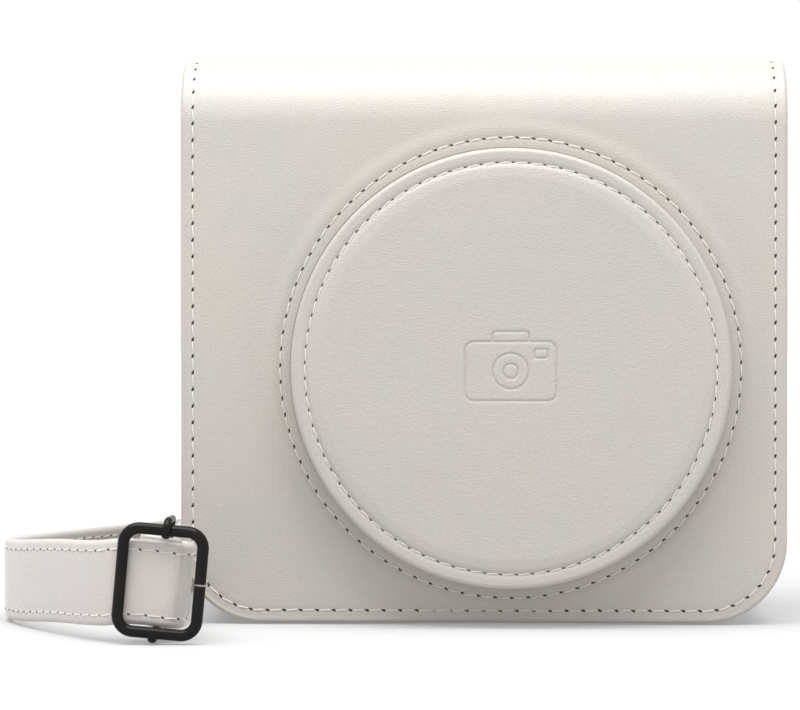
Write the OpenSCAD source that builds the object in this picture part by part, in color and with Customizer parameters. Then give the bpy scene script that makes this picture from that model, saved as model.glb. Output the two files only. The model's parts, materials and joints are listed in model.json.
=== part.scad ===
/* [Case] */
// Width of the flap and of the back panel
flap_w = 142; // [130:1:160]
// Height of the closed case
case_h = 133.3; // [126:1:150]
// Depth from the outer face of the flap to the back
case_d = 57; // [50:1:70]
// How far the flap stands past the body on each side
overhang = 1.5; // [1:0.5:3]
// Radius of the flap's lower corners
flap_corner_r = 19; // [14:1:24]
// Radius of the body's lower corners
body_corner_r = 19; // [8:1:22]
// Outer radius of the soft fold between the top and the front
fold_r = 16; // [13:1:20]
// Outer radius of the hinge between the back and the top
hinge_r = 5; // [4:0.5:7]

/* [Layers] */
// Thickness of the leatherette skin
skin_t = 1; // [0.8:0.1:1.2]
// Thickness of the stiffening board
board_t = 1.5; // [1:0.1:2]
// Thickness of the woven lining
lining_t = 0.6; // [0.4:0.1:0.8]

/* [Lens dome] */
// Radius of the dome's wall
dome_r = 50.8; // [45:0.2:52]
// Distance from the middle of the case to the dome's axis
dome_x = 6.3; // [-10:0.1:10]
// Height of the dome's axis
dome_z = 60; // [58:0.5:64]
// How far the dome stands out of the flap
dome_h = 12; // [8:1:16]
// Rounding of the cap's rim
cap_round = 2.2; // [1.5:0.1:3]
// Radius of the row of stitches on the cap
cap_seam_r = 47.4; // [44:0.1:48]
// Radius of the row of stitches round the dome's foot
base_seam_r = 53.9; // [53:0.1:56]
// Radius of the lens notch in the front panel
notch_r = 46; // [38:1:47]

/* [Strap] */
// Width of the strap
strap_w = 19; // [19:1:19]
// Thickness of the strap
strap_t = 2.4; // [2.4:0.1:2.4]
// Wire diameter of the rings and of the slider
wire_d = 2.6; // [2.6:0.1:2.6]
// Height of the slider over its wires
slider_h = 25.4; // [25.2:0.2:27]
// Width of the slider over its wires
slider_w = 20.2; // [20.2:0.1:20.2]

/* [Hidden] */
$fn = 96;

shell_t = skin_t + board_t + lining_t;
half_w = flap_w / 2;
body_half = half_w - overhang;
gap = 0.3;
seam_w = 0.8;
seam_t = 0.3;
wire_r = wire_d / 2;
wire_play = 0.08;
tab_t = 1.2;
ring_off = 3;
// The dome and the ring tabs count in the depth, so that the origin is under its middle
back_y = (dome_h + seam_t + case_d - ring_off - wire_r - wire_play - tab_t) / 2;
flap_y = back_y - case_d;
cap_y = flap_y - dome_h;
front_y = flap_y + shell_t + gap;
flap_bottom_z = 0.3;
fold_y = flap_y + fold_r;
fold_z = case_h - fold_r;
hinge_y = back_y - hinge_r;
hinge_z = case_h - hinge_r;
side_top_z = case_h - shell_t - 0.5;
front_top_z = fold_z - 4;
side_round = fold_r - shell_t - 0.6;
inset = 1.2;
seam_inset = 2.9;
flange_t = 0.7;
flange_r = dome_r + 5;
cap_pad_t = 1.5;
magnet_r = 5;
magnet_t = 1.3;
magnet_x = 52;
magnet_z = 19;

// Points of a strip at depth y0 to y1 seen from the front, with two round lower corners
module plate(y0, y1, half, bottom, top, r) {
    translate([0, y1, 0]) rotate([90, 0, 0]) linear_extrude(y1 - y0) rounded_bottom(half, bottom, top, r);
}

module rounded_bottom(half, bottom, top, r) {
    translate([-half, bottom + r]) square([2 * half, top - bottom - r]);
    translate([-half + r, bottom]) square([2 * (half - r), r + 1]);
    translate([-half + r, bottom + r]) circle(r);
    translate([half - r, bottom + r]) circle(r);
}

// A disc or a bore about the dome's axis
module dome_disc(y0, y1, r) {
    translate([dome_x, y1, dome_z]) rotate([90, 0, 0]) cylinder(h = y1 - y0, r = r);
}

module dome_ring(y0, y1, r_in, r_out) {
    difference() {
        dome_disc(y0, y1, r_out);
        dome_disc(y0 - 1, y1 + 1, r_in);
    }
}

// Body of the case

module back_skin() {
    color("#d9d4cc") plate(back_y - skin_t, back_y, half_w, 0, hinge_z, body_corner_r);
}

module back_board() {
    color("#8d8478") plate(back_y - skin_t - board_t, back_y - skin_t, half_w - inset, inset,
        hinge_z - inset, body_corner_r - inset);
}

module back_lining() {
    color("#b9b2a8") plate(back_y - shell_t, back_y - skin_t - board_t, half_w - inset, inset,
        hinge_z - inset, body_corner_r - inset);
}

// The side walls' outline, with a round corner that clears the flap's fold
module side_profile(y0, y1, bottom) {
    round_y = front_y + side_round;
    round_z = side_top_z - side_round;
    rotate([90, 0, 90]) translate([0, 0, -half_w - 1]) linear_extrude(2 * half_w + 2) {
        translate([y0, bottom]) square([y1 - y0, round_z - bottom]);
        intersection() {
            translate([y0, round_z - 1]) square([y1 - y0, side_round + 1]);
            union() {
                translate([round_y, round_z]) circle(side_round);
                translate([round_y, bottom]) square([y1 - round_y, side_top_z - bottom]);
            }
        }
    }
}

// One layer of the band that makes the sides and the bottom
module gusset_layer(y0, y1, inset_out, inset_in) {
    intersection() {
        difference() {
            plate(y0, y1, body_half - inset_out, inset_out, case_h, body_corner_r - inset_out);
            plate(y0 - 1, y1 + 1, body_half - inset_in, inset_in, case_h + 1, body_corner_r - inset_in);
        }
        side_profile(y0, y1, -1);
    }
}

module gusset_skin() {
    color("#d4cfc7") gusset_layer(front_y + skin_t, back_y - shell_t, 0, skin_t);
}

module side_boards() {
    color("#8d8478") for (side = [-1, 1]) intersection() {
        translate([side * (body_half - skin_t - board_t / 2) - board_t / 2, front_y, body_corner_r])
            cube([board_t, back_y - front_y, case_h - body_corner_r]);
        side_profile(front_y + shell_t, back_y - shell_t, body_corner_r);
    }
}

module bottom_board() {
    color("#8d8478") translate([body_corner_r - body_half, front_y + shell_t, skin_t])
        cube([2 * (body_half - body_corner_r), back_y - front_y - 2 * shell_t, board_t]);
}

module gusset_lining() {
    color("#b9b2a8") gusset_layer(front_y + shell_t, back_y - shell_t, skin_t + board_t, shell_t);
}

module notch(y0, y1) {
    dome_disc(y0 - 1, y1 + 1, notch_r);
    translate([dome_x - notch_r, y0 - 1, dome_z]) cube([2 * notch_r, y1 - y0 + 2, case_h]);
}

module front_layer(y0, y1, layer_inset) {
    difference() {
        plate(y0, y1, body_half - layer_inset, layer_inset, front_top_z, body_corner_r - layer_inset);
        notch(y0, y1);
    }
}

module front_skin() {
    color("#d4cfc7") front_layer(front_y, front_y + skin_t, 0);
}

module front_board() {
    color("#8d8478") difference() {
        front_layer(front_y + skin_t, front_y + skin_t + board_t, skin_t);
        magnet_discs(front_y + skin_t - 1, board_t + 2, magnet_r + 0.1);
    }
}

module front_lining() {
    color("#b9b2a8") front_layer(front_y + skin_t + board_t, front_y + shell_t, skin_t);
}

module magnet_discs(y0, t, r) {
    for (side = [-1, 1])
        translate([side * magnet_x, y0 + t, magnet_z]) rotate([90, 0, 0]) cylinder(h = t, r = r);
}

module body_magnets() {
    color("#7d7f83") magnet_discs(front_y + skin_t + 0.1, magnet_t, magnet_r);
}

// A quarter of a round bend between two flat panels, seen along X
module bend(y, z, r_out, r_in, turn) {
    translate([-half_w, y, z]) rotate([turn, 0, 0]) rotate([90, 0, 90]) linear_extrude(2 * half_w)
        difference() {
            intersection() {
                circle(r_out);
                square(r_out + 1);
            }
            circle(r_in);
        }
}

module hinge_strip() {
    color("#d9d4cc") bend(hinge_y, hinge_z, hinge_r, hinge_r - skin_t - lining_t, 0);
}

// Flap: its top panel

module flap_top_layer(z0, z1, layer_inset) {
    translate([layer_inset - half_w, fold_y + layer_inset, z0])
        cube([2 * (half_w - layer_inset), hinge_y - fold_y - 2 * layer_inset, z1 - z0]);
}

module flap_top_skin() {
    color("#e4e0d9") flap_top_layer(case_h - skin_t, case_h, 0);
}

module flap_top_board() {
    color("#8d8478") flap_top_layer(case_h - skin_t - board_t, case_h - skin_t, inset);
}

module flap_top_lining() {
    color("#b9b2a8") flap_top_layer(case_h - shell_t, case_h - skin_t - board_t, inset);
}

module top_seams() {
    color("#f2efe9") for (side = [-1, 1])
        translate([side * (half_w - seam_inset) - seam_w / 2, fold_y, case_h])
            cube([seam_w, hinge_y - fold_y, seam_t]);
}

module fold_strip() {
    color("#e4e0d9") bend(fold_y, fold_z, fold_r, fold_r - skin_t - lining_t, 90);
}

// Flap: its front panel and the lens dome

module flap_front_skin() {
    color("#d9d4cc") difference() {
        plate(flap_y, flap_y + skin_t, half_w, flap_bottom_z, fold_z, flap_corner_r);
        dome_disc(flap_y - 1, flap_y + skin_t + 1, dome_r + 0.1);
    }
}

module flap_front_board() {
    y0 = flap_y + skin_t;
    color("#8d8478") difference() {
        plate(y0, y0 + board_t, half_w - inset, flap_bottom_z + inset, fold_z - inset, flap_corner_r - inset);
        dome_disc(y0 - 1, y0 + flange_t, flange_r + 0.2);
        dome_disc(y0 - 1, y0 + board_t + 1, dome_r - skin_t - board_t);
        magnet_discs(y0 - 1, board_t + 2, magnet_r + 0.1);
    }
}

module flap_front_lining() {
    y0 = flap_y + skin_t + board_t;
    color("#b9b2a8") difference() {
        plate(y0, y0 + lining_t, half_w - inset, flap_bottom_z + inset, fold_z - inset,
            flap_corner_r - inset);
        dome_disc(y0 - 1, y0 + lining_t + 1, dome_r - shell_t);
    }
}

module flap_magnets() {
    color("#7d7f83") magnet_discs(flap_y + skin_t + 0.1, magnet_t, magnet_r);
}

module flap_seam() {
    outer_in = seam_inset - seam_w / 2;
    inner_in = seam_inset + seam_w / 2;
    color("#f2efe9") difference() {
        plate(flap_y - seam_t, flap_y, half_w - outer_in, flap_bottom_z + outer_in, fold_z,
            flap_corner_r - outer_in);
        plate(flap_y - 1, flap_y + 1, half_w - inner_in, flap_bottom_z + inner_in, fold_z + 1,
            flap_corner_r - inner_in);
    }
}

module dome_flange() {
    color("#d4cfc7") dome_ring(flap_y + skin_t, flap_y + skin_t + flange_t, dome_r - skin_t - board_t, flange_r);
}

module dome_wall() {
    color("#d9d4cc") dome_ring(cap_y + cap_round, flap_y + skin_t, dome_r - skin_t - board_t, dome_r);
}

module dome_lining() {
    color("#b9b2a8") dome_ring(cap_y + skin_t + 2 * cap_pad_t, flap_y + skin_t + board_t,
        dome_r - shell_t, dome_r - skin_t - board_t);
}

module dome_base_seam() {
    color("#f2efe9") dome_ring(flap_y - seam_t, flap_y, base_seam_r - seam_w / 2, base_seam_r + seam_w / 2);
}

// The cap is a disc whose rim rounds over onto the wall
module cap_skin() {
    color("#dcd7cf") translate([dome_x, cap_y + cap_round, dome_z]) rotate([90, 0, 0]) rotate_extrude() {
        difference() {
            union() {
                square([dome_r - cap_round, cap_round]);
                intersection() {
                    translate([dome_r - cap_round, 0]) circle(cap_round);
                    square([dome_r + 1, cap_round]);
                }
            }
            square([dome_r - skin_t - board_t, cap_round - skin_t]);
        }
    }
}

module cap_foam() {
    color("#e9e6df") dome_disc(cap_y + skin_t, cap_y + skin_t + cap_pad_t, dome_r - skin_t - board_t - 0.1);
}

module cap_board() {
    y0 = cap_y + skin_t + cap_pad_t;
    color("#8d8478") dome_disc(y0, y0 + cap_pad_t, dome_r - skin_t - board_t - 0.1);
}

module cap_seam() {
    color("#f2efe9") dome_ring(cap_y - seam_t, cap_y, cap_seam_r - seam_w / 2, cap_seam_r + seam_w / 2);
}

// Rings on the back that hold the strap

ring_x = 50;
ring_z = 107;
ring_h = 14;
ring_half = strap_w / 2 + 0.5 + wire_r;
ring_y = back_y + ring_off;
ring_bend = 2.5;
tab_w = 14;
tab_rise = 15;
rivet_r = 2.5;
rivet_pin_r = 1;
rivet_z = ring_z + tab_rise - 5;

// A closed rectangular wire in the XZ plane, its top wire on the local X axis
module wire_rectangle(half, height, bend_r) {
    for (z = [0, -height]) translate([bend_r - half, 0, z]) rotate([0, 90, 0])
        cylinder(h = 2 * (half - bend_r), r = wire_r);
    for (side = [-1, 1]) translate([side * half, 0, bend_r - height]) cylinder(h = height - 2 * bend_r, r = wire_r);
    for (side = [-1, 1]) for (low = [0, 1])
        translate([side * (half - bend_r), 0, low * (2 * bend_r - height) - bend_r])
            rotate([0, side > 0 ? 90 * low : 180 + 90 * (1 - low), 0]) rotate([90, 0, 0])
                rotate_extrude(angle = 90) translate([bend_r, 0]) circle(wire_r, $fn = 32);
}

module tab_profile() {
    loop_r = wire_r + wire_play;
    difference() {
        union() {
            circle(loop_r + tab_t);
            translate([-ring_off, 0]) square([2 * tab_t, tab_rise]);
        }
        circle(loop_r);
    }
}

// Each tab wraps the ring's top wire and is riveted to the back above it
module ring_tabs() {
    color("#d4cfc7") difference() {
        for (side = [-1, 1]) translate([side * ring_x - tab_w / 2, ring_y, ring_z])
            rotate([90, 0, 90]) linear_extrude(tab_w) tab_profile();
        for (side = [-1, 1]) translate([side * ring_x, back_y - 1, rivet_z])
            rotate([-90, 0, 0]) cylinder(h = 2 * tab_t + 2, r = rivet_pin_r + 0.05);
    }
}

module tab_rivets() {
    color("#2c2c30") for (side = [-1, 1]) translate([side * ring_x, back_y, rivet_z]) rotate([-90, 0, 0]) {
        cylinder(h = 2 * tab_t + 0.4, r = rivet_pin_r);
        translate([0, 0, 2 * tab_t]) cylinder(h = 0.8, r = rivet_r);
    }
}

module ring_left() {
    color("#2c2c30") translate([-ring_x, ring_y, ring_z]) wire_rectangle(ring_half, ring_h, ring_bend);
}

module ring_right() {
    color("#2c2c30") translate([ring_x, ring_y, ring_z]) wire_rectangle(ring_half, ring_h, ring_bend);
}

// Strap: routes

edge_up = [0, 0, 1];
edge_leaning = [0.12, 0, 0.99];
flat_back = [1, 0, 0];
floor_z = strap_w / 2 + 0.2;
hank_z = 10.5;
loop_t = 1.2;
loop_play = 0.3;
loop_low = 9;
strap_gap = 0.2;
roll_r = 8;
roll_y = 58;
roll_steps = 8;

// The slider stands in front of the case's left corner and leans with the strap
slider_pos = [-71, -70, 13.65];
slider_tilt = 5;
slider_bend = 3.5;
slider_half = slider_w / 2 - wire_r;
slider_rise = slider_h / 2 - wire_r;
bar_r = 0.9;
bar_back = 7;
bar_lean = 3;
bar_loop_x = [-4, 0.6];

// Where the strap hangs from a ring, down the back of the case
function hanging(x) = [
    for (p = [[ring_y, ring_z - ring_h - loop_low - strap_gap], [36.5, 72], [39, 58], [41.3, 44], [42, 34]])
        [[x, p[0], p[1]], flat_back]
];

// The strap rolls over a diagonal, from hanging down to standing on its edge
function roll_point(x, turn) =
    let (
        across = [0, 1, 0],
        out = [1, 0, -1] / sqrt(2),
        along = [1, 0, 1] / sqrt(2),
        start = [x - roll_r * PI / sqrt(2), roll_y, floor_z],
        normal = cos(turn) * across + sin(turn) * out,
        heading = (cos(turn) * out - sin(turn) * across + along) / sqrt(2)
    )
    [
        start + roll_r * (sin(turn) * out + (cos(turn) - 1) * across + turn * PI / 180 * along),
        cross(heading, normal)
    ];

function drop(x) = concat(hanging(x), [for (i = [roll_steps:-1:0]) roll_point(x, 180 * i / roll_steps)]);

// An arc on the floor, from and to the angles given
function floor_arc(centre, r, from, to, steps) = [
    for (i = [1:steps]) let (a = from + (to - from) * i / steps) [centre.x + r * cos(a), centre.y + r * sin(a), floor_z]
];

function on_edge(points) = [for (p = points) [p, edge_up]];
function leaning(points) = [for (p = points) [p, edge_leaning]];

short_route = concat(drop(-ring_x), on_edge(concat(
    floor_arc([-67.9, 48], 10, 90, 180, 4),
    [
        [-77.9, 30, 9.7], [-77.9, 8, 9.7], [-77.9, -12, 9.7], [-77.7, -24, 9.9], [-76.8, -34, 10.6],
        [-75.1, -43, 11.8], [-73.5, -50, 12.7], [-72.3, -55.5, 13.4], [-72, -60.2, 13.6]
    ]
)));

back_route = concat(drop(ring_x), on_edge(concat(
    [[20, 58, 10.5], [5, 58, 10.5], [-12, 58, 10.5], [-24, 58, 10.5]],
    [for (a = [240:-30:120]) [-24 + 4 * cos(a), 62 + 4 * sin(a), 10.5]],
    [[-24, 66, 10.5], [-20, 66, 10.5]]
)));

front_route = concat(
    on_edge([
        [-20, 90, 10.5], [-35, 89.5, 10.3], [-50, 86, 10], [-63, 79.5, 9.7], [-72.5, 69, 9.7], [-79.5, 55.5, 9.7],
        [-86, 42.5, 9.7], [-93, 29.5, 9.7], [-100, 16.5, 9.7], [-106.5, 4, 9.7], [-111, -5.5, 9.7],
        [-112.8, -12.5, 9.8], [-112, -20, 10], [-108, -29.5, 10.4], [-102.5, -39, 11.2], [-96, -49, 12],
        [-89, -59, 12.5], [-84.5, -64.4, 12.9]
    ]),
    leaning([
        [-79.5, -67.1, 13.5], [-74, -67.2, 13.3], [-70.2, -67.2, 12.8], [-68.2, -66.9, 12.5],
        [-66.7, -65.6, 12.3], [-66.1, -63.4, 12.3], [-66.2, -60.6, 12.3]
    ]),
    on_edge([
        [-67.1, -57, 12.2], [-68.9, -52.5, 12], [-70.7, -46.5, 11.4], [-72.3, -40, 10.8],
        [-73.8, -33.5, 10.3], [-74.8, -27, 10]
    ])
);

// Strap: solids

function unit(v) = v / norm(v);
function heading_at(route, i) = unit(route[min(i + 1, len(route) - 1)][0] - route[max(i - 1, 0)][0]);

// Corners of the strap's section at point i of a route
function strap_ring(route, i) =
    let (
        ahead = heading_at(route, i),
        hint = route[i][1],
        wide = unit(hint - (hint * ahead) * ahead),
        thick = cross(ahead, wide),
        w = strap_w / 2,
        t = strap_t / 2,
        c = 0.5
    )
    [for (q = [[w - c, -t], [w, c - t], [w, t - c], [w - c, t], [c - w, t], [-w, t - c], [-w, c - t], [c - w, -t]])
        route[i][0] + q[0] * wide + q[1] * thick];

module strap(route) {
    rings = len(route);
    sides = 8;
    color("#d3cdc8") polyhedron(
        points = [for (i = [0:rings - 1]) each strap_ring(route, i)],
        faces = concat(
            [[for (k = [0:sides - 1]) k]],
            [for (i = [0:rings - 2]) for (k = [0:sides - 1]) let (
                near = i * sides + k,
                far = near + sides,
                near_next = i * sides + (k + 1) % sides,
                far_next = near_next + sides
            ) each [[near, far, far_next], [near, far_next, near_next]]],
            [[for (k = [sides - 1:-1:0]) (rings - 1) * sides + k]]
        )
    );
}

// A strip folded back on itself round a wire, in its own thinner leather
module loop_outline(low, r) {
    circle(r);
    translate([-r, -low]) square([2 * r, low]);
}

module ring_loop(x) {
    inner_r = wire_r + loop_play;
    translate([x - strap_w / 2, ring_y, ring_z - ring_h]) rotate([90, 0, 90]) linear_extrude(strap_w)
        difference() {
            loop_outline(loop_low, inner_r + loop_t);
            loop_outline(loop_low - loop_t, inner_r);
        }
}

module slider_frame_place() {
    translate(slider_pos) rotate([0, slider_tilt, 0]) children();
}

// The bar leans a little more than the frame, square to the strap
module bar_place() {
    translate(slider_pos) rotate([0, slider_tilt + bar_lean, 0]) children();
}

module stadium(x0, x1, r) {
    translate([x0, 0]) circle(r);
    translate([x1, 0]) circle(r);
    translate([x0, -r]) square([x1 - x0, 2 * r]);
}

// The bar can shift inside this loop
module bar_loop() {
    inner_r = bar_r + loop_play;
    bar_place() translate([0, bar_back, -strap_w / 2]) linear_extrude(strap_w)
        difference() {
            stadium(bar_loop_x[0], bar_loop_x[1], inner_r + loop_t);
            stadium(bar_loop_x[0], bar_loop_x[1], inner_r);
        }
}

module short_strap() {
    strap(short_route);
}

module short_strap_loops() {
    color("#d3cdc8") {
        ring_loop(-ring_x);
        bar_loop();
    }
}

module long_strap_front() {
    strap(front_route);
}

module long_strap_back() {
    strap(back_route);
}

module long_strap_loop() {
    color("#d3cdc8") ring_loop(ring_x);
}

hank_x0 = -20;
hank_x1 = 54;
hank_y0 = 64.8;
hank_y1 = 91.2;
hank_round = 5;

// The runs of the strap that lie folded behind the case
module long_strap_hank() {
    color("#d3cdc8") translate([0, 0, hank_z - strap_w / 2]) linear_extrude(strap_w) {
        translate([hank_x0, hank_y0]) square([hank_x1 - hank_x0 - hank_round, hank_y1 - hank_y0]);
        translate([hank_x0, hank_y0 + hank_round])
            square([hank_x1 - hank_x0, hank_y1 - hank_y0 - 2 * hank_round]);
        for (y = [hank_y0 + hank_round, hank_y1 - hank_round]) translate([hank_x1 - hank_round, y]) circle(hank_round);
    }
}

tie_x = 10;
tie_w = 8;
tie_t = 0.8;

module tie_plate(grow) {
    translate([tie_x, roll_y - strap_t / 2 - 0.1 - grow, hank_z - strap_w / 2 - grow])
        cube([tie_w, hank_y1 + 0.2 - roll_y + strap_t / 2 + 2 * grow, strap_w + 2 * grow]);
}

module strap_tie() {
    color("#b8b2ab") difference() {
        tie_plate(tie_t);
        translate([-1, 0, 0]) tie_plate(0);
        translate([1, 0, 0]) tie_plate(0);
    }
}

module slider_frame() {
    color("#232326") slider_frame_place() difference() {
        translate([0, 0, slider_rise]) wire_rectangle(slider_half, 2 * slider_rise, slider_bend);
        translate([slider_half - 2, -2, -0.2]) cube([4, 4, 0.4]);
    }
}

// Each end of the bar is flattened, reaches forward over the frame's wire and curls down in front of it
top_end_t = 1.6;
low_end_t = 0.8;

function end_out(thick) = wire_r + 0.1 + thick / 2;

module bar_end(thick, turn) {
    flat = thick / (2 * bar_r);
    out = end_out(thick);
    translate([0, 0, slider_rise]) {
        rotate([90, 0, 90]) rotate([0, 0, 90]) rotate_extrude(angle = turn)
            translate([out, 0]) scale([flat, 1]) circle(bar_r, $fn = 32);
        translate([0, bar_back, out]) rotate([90, 0, 0]) scale([1, flat, 1]) cylinder(h = bar_back, r = bar_r, $fn = 32);
        translate([0, bar_back, out]) scale([1, 1, flat]) sphere(bar_r, $fn = 32);
    }
}

module slider_bar() {
    low = slider_rise + end_out(low_end_t);
    high = slider_rise + end_out(top_end_t);
    color("#232326") bar_place() {
        translate([0, bar_back, -low]) cylinder(h = low + high, r = bar_r, $fn = 32);
        bar_end(top_end_t, 125);
        mirror([0, 0, 1]) bar_end(low_end_t, 100);
    }
}

back_skin();
back_board();
back_lining();
gusset_skin();
side_boards();
bottom_board();
gusset_lining();
front_skin();
front_board();
front_lining();
body_magnets();
hinge_strip();
flap_top_skin();
flap_top_board();
flap_top_lining();
top_seams();
fold_strip();
flap_front_skin();
flap_front_board();
flap_front_lining();
flap_magnets();
flap_seam();
dome_flange();
dome_wall();
dome_lining();
dome_base_seam();
cap_skin();
cap_foam();
cap_board();
cap_seam();
ring_tabs();
tab_rivets();
ring_left();
ring_right();
short_strap();
short_strap_loops();
long_strap_front();
long_strap_hank();
long_strap_back();
long_strap_loop();
strap_tie();
slider_frame();
slider_bar();
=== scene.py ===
import json
import math

import bmesh
import bpy
import numpy as np
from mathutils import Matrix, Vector, noise
from mathutils.geometry import delaunay_2d_cdt


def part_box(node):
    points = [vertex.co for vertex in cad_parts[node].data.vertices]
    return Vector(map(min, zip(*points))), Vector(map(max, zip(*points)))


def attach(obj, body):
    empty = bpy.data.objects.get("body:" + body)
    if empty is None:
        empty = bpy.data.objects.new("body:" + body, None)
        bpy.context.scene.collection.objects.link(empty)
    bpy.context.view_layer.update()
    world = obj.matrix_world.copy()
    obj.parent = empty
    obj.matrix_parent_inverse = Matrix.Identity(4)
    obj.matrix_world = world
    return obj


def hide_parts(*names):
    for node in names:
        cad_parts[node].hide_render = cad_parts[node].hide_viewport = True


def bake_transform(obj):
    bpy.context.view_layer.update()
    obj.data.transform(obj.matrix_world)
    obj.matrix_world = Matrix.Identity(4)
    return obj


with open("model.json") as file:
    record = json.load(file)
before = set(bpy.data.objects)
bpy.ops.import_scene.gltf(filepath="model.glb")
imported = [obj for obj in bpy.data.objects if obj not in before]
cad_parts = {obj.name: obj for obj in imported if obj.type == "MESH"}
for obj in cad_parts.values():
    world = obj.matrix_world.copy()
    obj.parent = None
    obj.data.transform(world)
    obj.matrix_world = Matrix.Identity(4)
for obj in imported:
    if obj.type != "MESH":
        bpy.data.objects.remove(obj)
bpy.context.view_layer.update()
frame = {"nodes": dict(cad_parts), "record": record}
nodes = frame["nodes"]
MM = 0.001

# ---------------------------------------------------------------- sizes, from the frame

flap_low, flap_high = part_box("flap_front_skin")
top_low, top_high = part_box("flap_top_skin")
back_low, back_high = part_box("back_skin")
gusset_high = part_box("gusset_skin")[1]
front_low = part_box("front_skin")[0]
cap_low, cap_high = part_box("cap_skin")
base_seam_low, base_seam_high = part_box("dome_base_seam")
cap_seam_low, cap_seam_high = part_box("cap_seam")

HALF_W = flap_high.x
BODY_HALF = gusset_high.x
CASE_H = top_high.z
FLAP_Y = flap_low.y
FLAP_BOTTOM = flap_low.z
FOLD_Z = flap_high.z
FOLD_Y = top_low.y
HINGE_Y = top_high.y
HINGE_Z = back_high.z
BACK_Y = back_high.y
FRONT_Y = front_low.y
FOLD_R = CASE_H - FOLD_Z
HINGE_R = CASE_H - HINGE_Z
DOME_X = (cap_low.x + cap_high.x) / 2
DOME_Z = (cap_low.z + cap_high.z) / 2
DOME_R = (cap_high.x - cap_low.x) / 2
CAP_Y = cap_low.y
BASE_SEAM_R = (base_seam_high.x - base_seam_low.x) / 2 - 0.4 * MM
CAP_SEAM_R = (cap_seam_high.x - cap_seam_low.x) / 2 - 0.4 * MM
SKIN = 1.0 * MM
COVERED = 2.5 * MM
WALL = 3.1 * MM
FLAP_CORNER = 19 * MM
BODY_CORNER = 19 * MM
SEAM_INSET = 2.9 * MM
STITCH = 3.9 * MM
THREAD_R = 0.15 * MM
THREAD_SLANT = 0.12 * MM
SHEET_STEP = 2.4 * MM
BEND_STEP = 0.7 * MM
SHEET_COLUMNS = 52
CORNER_STEPS = 16

# ---------------------------------------------------------------- camera, light, floor

CAM_DISTANCE = 700 * MM
CAM_HEIGHT = 71 * MM
AIM = Vector((-19.5 * MM, FLAP_Y, 63 * MM))
LENS_MM = 134.6
FLOOR_HALF = 6.0
FLOOR_DROP = 0.2 * MM
SOFTBOX_AT = (-0.1, -0.34, 1.15)
SOFTBOX_AIM = (0, 0, 0.03)
SOFTBOX_SIZE = (1.2, 0.9)
SOFTBOX_WATTS = 22.5
# the floor's glow rises between these distances from the middle, so that it fades into the white world
GLOW_NEAR, GLOW_FAR = 0.3, 0.9
GLOW_LOW, GLOW_HIGH = 0.24, 1.0


def place_and_aim(thing, place, aim):
    bpy.context.scene.collection.objects.link(thing)
    thing.location = place
    thing.rotation_mode = "QUATERNION"
    thing.rotation_quaternion = (Vector(aim) - Vector(place)).to_track_quat("-Z", "Y")


def make_camera():
    data = bpy.data.cameras.new("camera")
    data.sensor_width = 36
    data.lens = LENS_MM
    data.clip_start = 0.01
    data.clip_end = 20
    camera = bpy.data.objects.new("camera", data)
    place_and_aim(camera, (0, FLAP_Y - CAM_DISTANCE, CAM_HEIGHT), AIM)
    bpy.context.scene.camera = camera


def make_lights():
    data = bpy.data.lights.new("overhead_softbox", "AREA")
    data.shape = "RECTANGLE"
    data.size, data.size_y = SOFTBOX_SIZE
    data.energy = SOFTBOX_WATTS
    place_and_aim(bpy.data.objects.new("overhead_softbox", data), SOFTBOX_AT, SOFTBOX_AIM)
    world = bpy.data.worlds.new("studio")
    bpy.context.scene.world = world
    world.use_nodes = True
    background = world.node_tree.nodes["Background"]
    background.inputs["Color"].default_value = (1, 1, 1, 1)
    background.inputs["Strength"].default_value = 1.0


def make_floor():
    mesh = bpy.data.meshes.new("floor")
    corners = [(x * FLOOR_HALF, y * FLOOR_HALF, 0) for x, y in ((-1, -1), (1, -1), (1, 1), (-1, 1))]
    mesh.from_pydata(corners, [], [(0, 1, 2, 3)])
    floor = bpy.data.objects.new("floor", mesh)
    bpy.context.scene.collection.objects.link(floor)
    floor.location.z = -FLOOR_DROP
    white = Shader("floor_white", (0.36, 0.36, 0.36), 0.8)
    white.set(Emission_Color=(1, 1, 1, 1))
    far = white.add("ShaderNodeVectorMath", Vector=white.where())
    far.operation = "LENGTH"
    glow = white.span(far.outputs["Value"], GLOW_NEAR, GLOW_FAR, GLOW_LOW, GLOW_HIGH)
    white.feed(white.main.inputs["Emission Strength"], glow)
    floor.data.materials.append(white.material)


# ---------------------------------------------------------------- materials


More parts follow.
